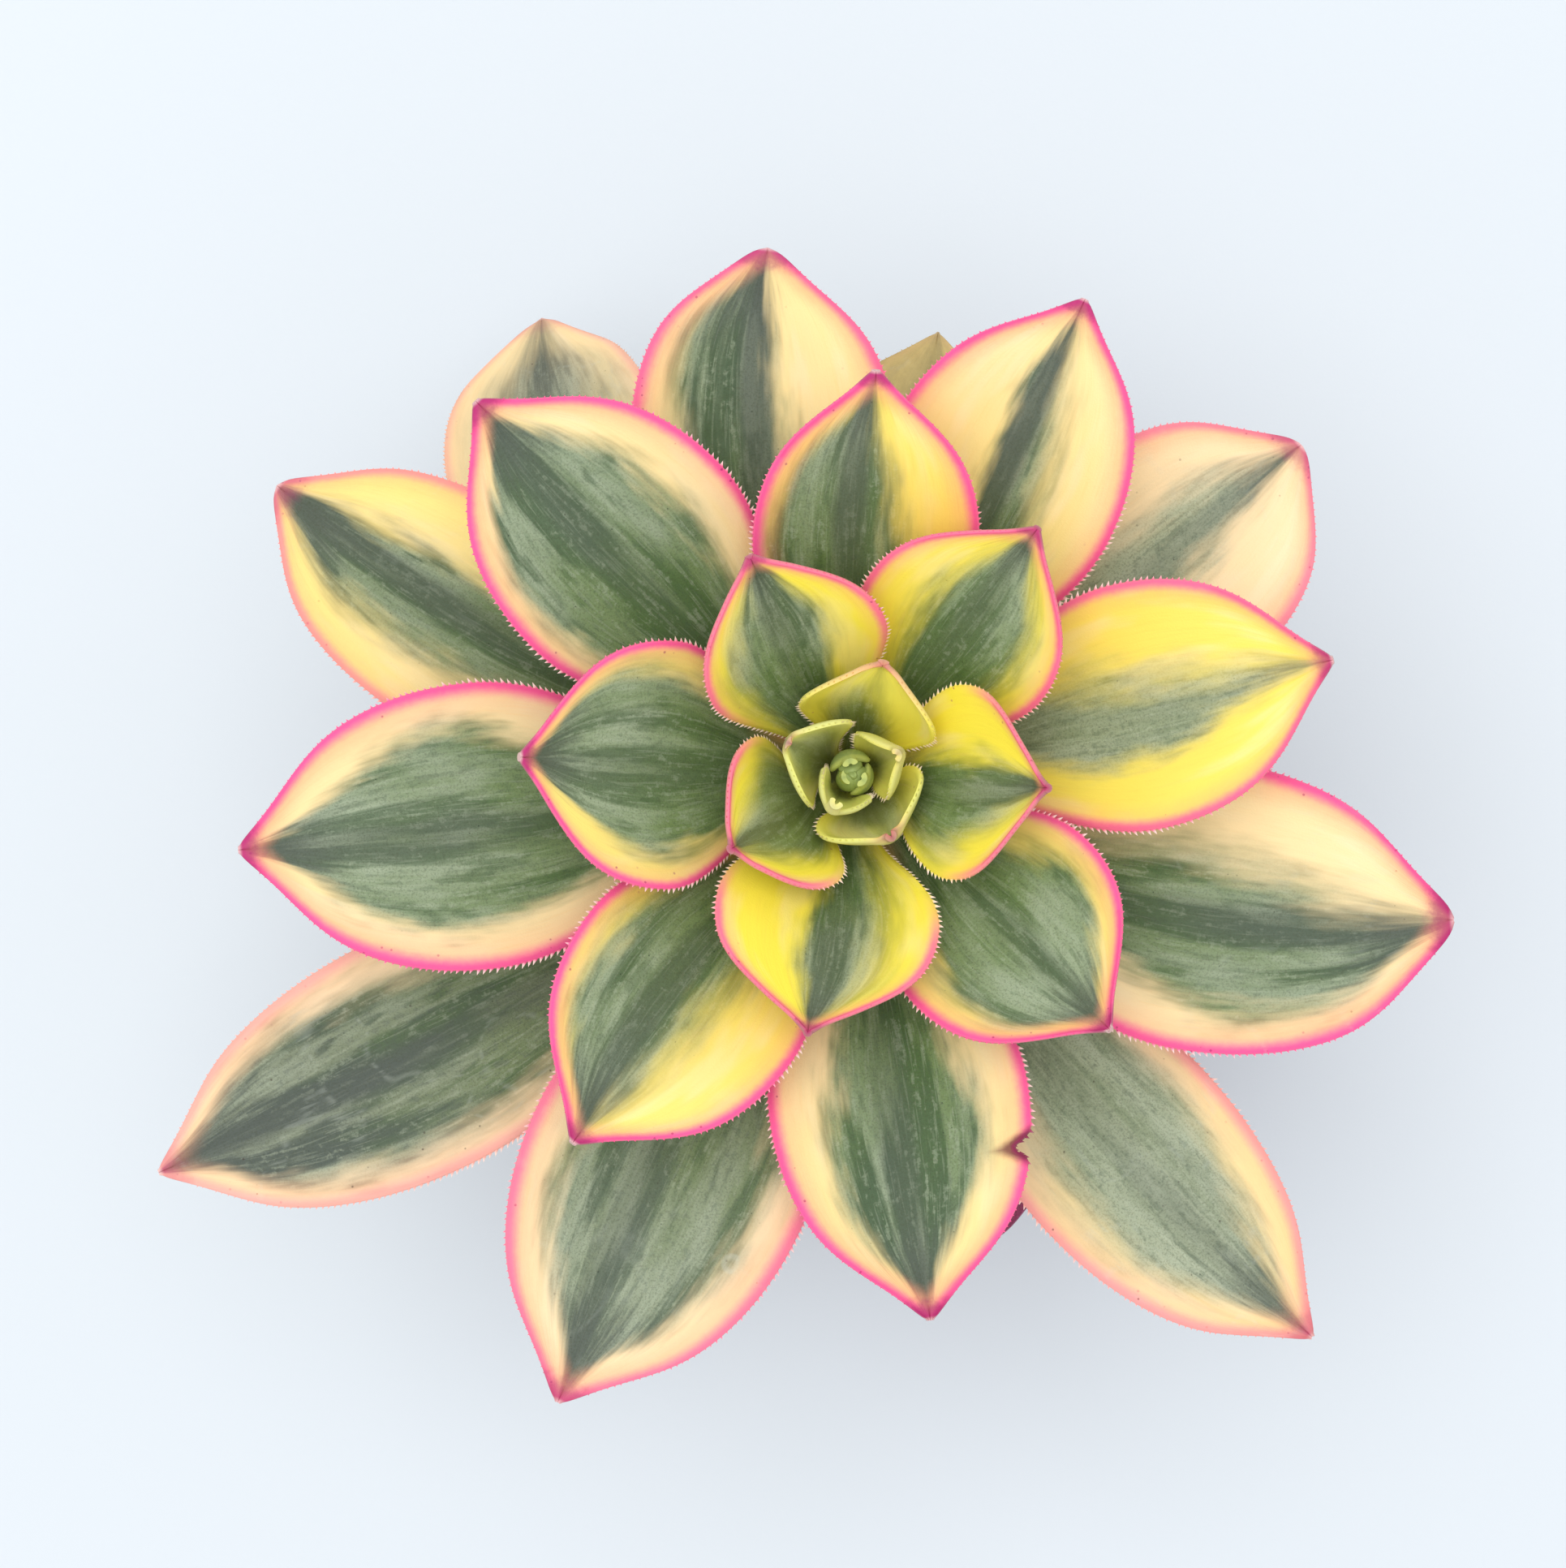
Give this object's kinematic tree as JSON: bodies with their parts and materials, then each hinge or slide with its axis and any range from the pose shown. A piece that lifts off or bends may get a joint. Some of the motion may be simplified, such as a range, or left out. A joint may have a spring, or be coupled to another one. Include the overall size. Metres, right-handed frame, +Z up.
{
  "type": "potted succulent plant",
  "caption": "Rosette of spoon-shaped variegated succulent leaves on a short woody stem, in a square tapered nursery pot of gritty soil.",
  "frame": {"origin": "middle of the pot's flat underside, on the table", "axes": "+Z up, +X along the plant's widest spread, +Y across it"},
  "size_m": [0.1823, 0.1608, 0.1487],
  "materials": {
    "pot_plastic": "thin dark burgundy plastic with a soft sheen, faint moulding marks and dust",
    "soil": "loose tan grit with darker crumbs",
    "stem_bark": "grey-brown bark ringed with pale leaf scars",
    "young_leaf": "bright yellow with a grey-green centre and a pink toothed edge, satin and waxy",
    "grown_leaf": "grey-green centre with dark veins, cream-yellow sides and a hot pink toothed edge, satin and waxy",
    "old_leaf": "cream and peach sides round a grey-green centre, with dried water rings, fine scratches and a peach edge"
  },
  "bodies": {
    "root": {"pot": "pot_plastic", "soil": "soil", "stem": "stem_bark", "bud": "young_leaf", "leaf_01": "young_leaf", "leaf_02": "young_leaf", "leaf_03": "young_leaf", "leaf_04": "young_leaf", "leaf_05": "young_leaf", "leaf_06": "young_leaf", "leaf_07": "young_leaf", "leaf_08": "young_leaf", "leaf_09": "young_leaf", "leaf_10": "grown_leaf", "leaf_11": "grown_leaf", "leaf_12": "grown_leaf", "leaf_13": "grown_leaf", "leaf_14": "grown_leaf", "leaf_15": "grown_leaf", "leaf_16": "grown_leaf", "leaf_17": "grown_leaf", "leaf_18": "grown_leaf", "leaf_19": "grown_leaf", "leaf_20": "old_leaf", "leaf_21": "old_leaf", "leaf_22": "old_leaf", "leaf_23": "old_leaf", "leaf_24": "old_leaf", "leaf_25": "old_leaf", "leaf_26": "old_leaf", "leaf_27": "old_leaf", "leaf_28": "old_leaf"}
  },
  "joints": []
}
